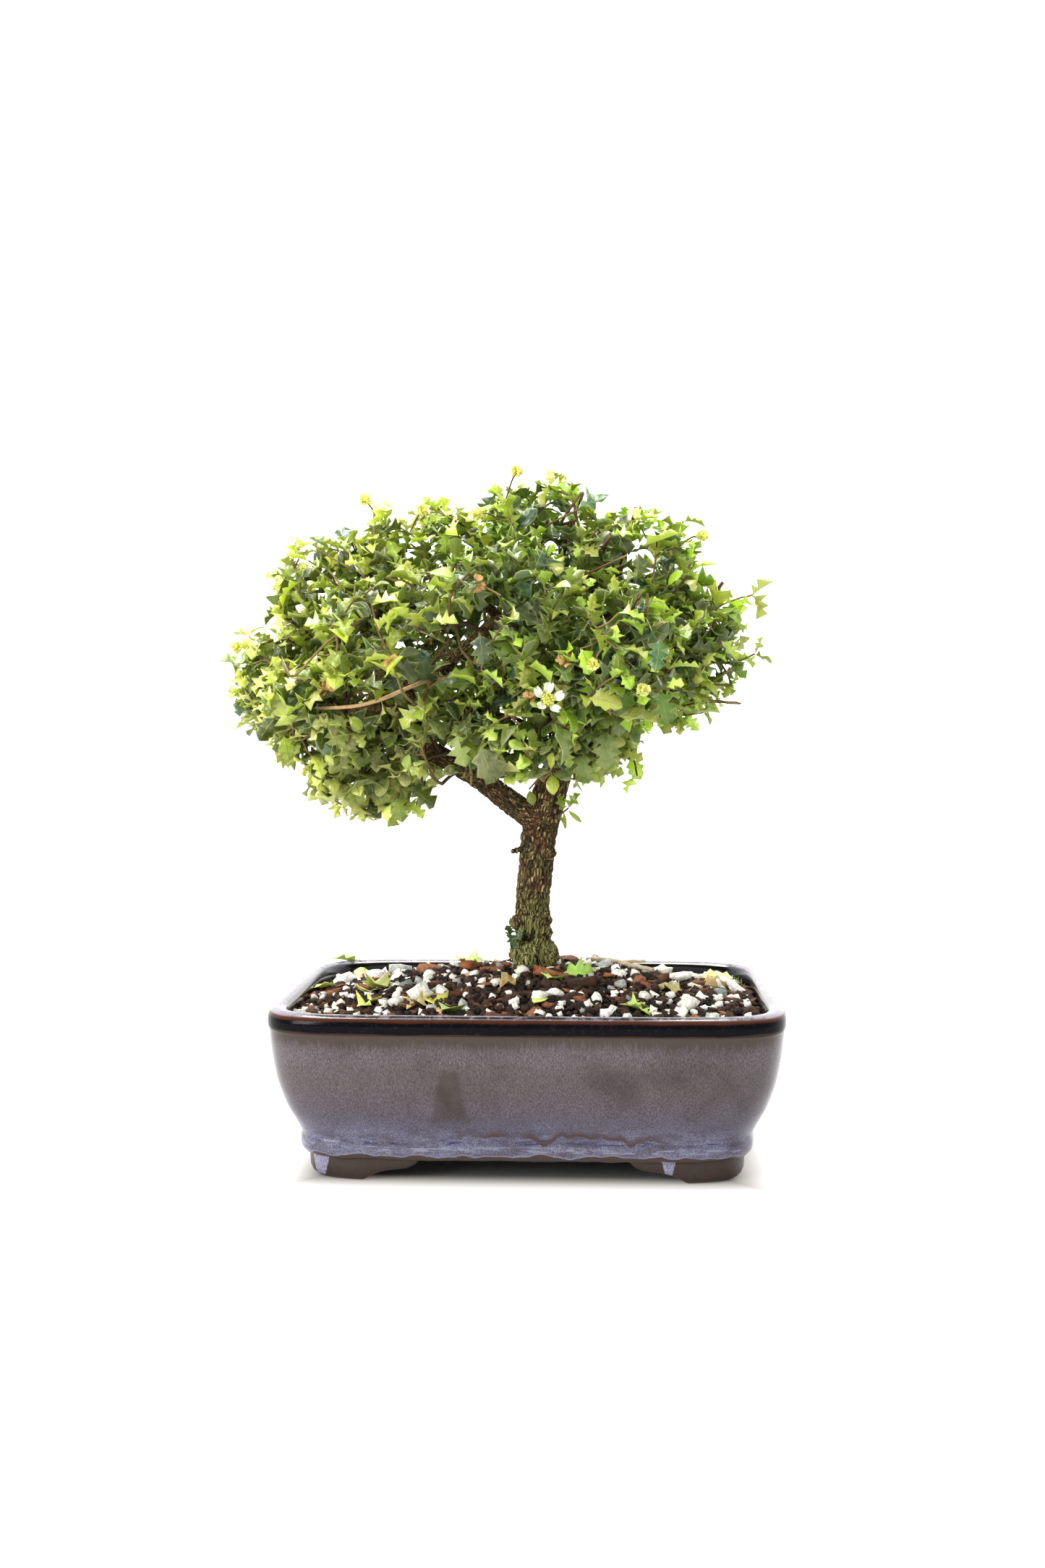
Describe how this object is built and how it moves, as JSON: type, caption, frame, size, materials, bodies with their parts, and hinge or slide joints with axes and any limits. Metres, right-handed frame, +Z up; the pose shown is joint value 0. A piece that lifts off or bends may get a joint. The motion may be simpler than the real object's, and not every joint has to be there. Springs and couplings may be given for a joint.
{
  "type": "dwarf holly bonsai",
  "caption": "Informal upright bonsai with a domed crown of small spiny holly leaves and tiny flowers, planted in a glazed rectangular footed pot",
  "frame": {"origin": "on the table, under the middle of the whole bonsai's bounding box, level with the undersides of the pot's feet", "axes": "+X along the pot's long side to the viewer's right, +Y away from the front of the pot, +Z up"},
  "size_m": [0.24, 0.1694, 0.2934],
  "materials": {
    "glaze": "gloss",
    "soil": "matte",
    "bark": "matte",
    "leaf": "satin",
    "shed_leaf": "satin",
    "flower": "matte",
    "screen": "matte",
    "dry_twig": "matte"
  },
  "bodies": {
    "root": {"drain_screen_left": "screen", "drain_screen_right": "screen", "flower_centre": "flower", "flower_crown_front": "flower", "flower_crown_left": "flower", "flower_front": "flower", "flower_left": "flower", "flower_right": "flower", "flower_top": "flower", "flower_upper_left": "flower", "flower_upper_right": "flower", "pot": "glaze", "shed_leaf_back_left": "shed_leaf", "shed_leaf_back_middle": "shed_leaf", "shed_leaf_far_right": "shed_leaf", "shed_leaf_front_left": "shed_leaf", "shed_leaf_front_middle": "shed_leaf", "shed_leaf_front_right": "shed_leaf", "shed_leaf_left": "shed_leaf", "shed_leaf_middle": "shed_leaf", "shed_leaf_right": "shed_leaf", "shed_twig": "dry_twig", "shoot_foot": "leaf", "shoot_right": "leaf", "soil": "soil", "spray_centre_back": "leaf", "spray_centre_front": "leaf", "spray_centre_low": "leaf", "spray_crown_left": "leaf", "spray_crown_top": "leaf", "spray_left_back": "leaf", "spray_left_bottom": "leaf", "spray_left_front": "leaf", "spray_left_middle": "leaf", "spray_left_tip": "leaf", "spray_left_top": "leaf", "spray_low_middle": "leaf", "spray_right_back": "leaf", "spray_right_front": "leaf", "spray_right_low": "leaf", "spray_right_side": "leaf", "spray_right_top": "leaf", "tree_wood": "bark"}
  },
  "joints": []
}
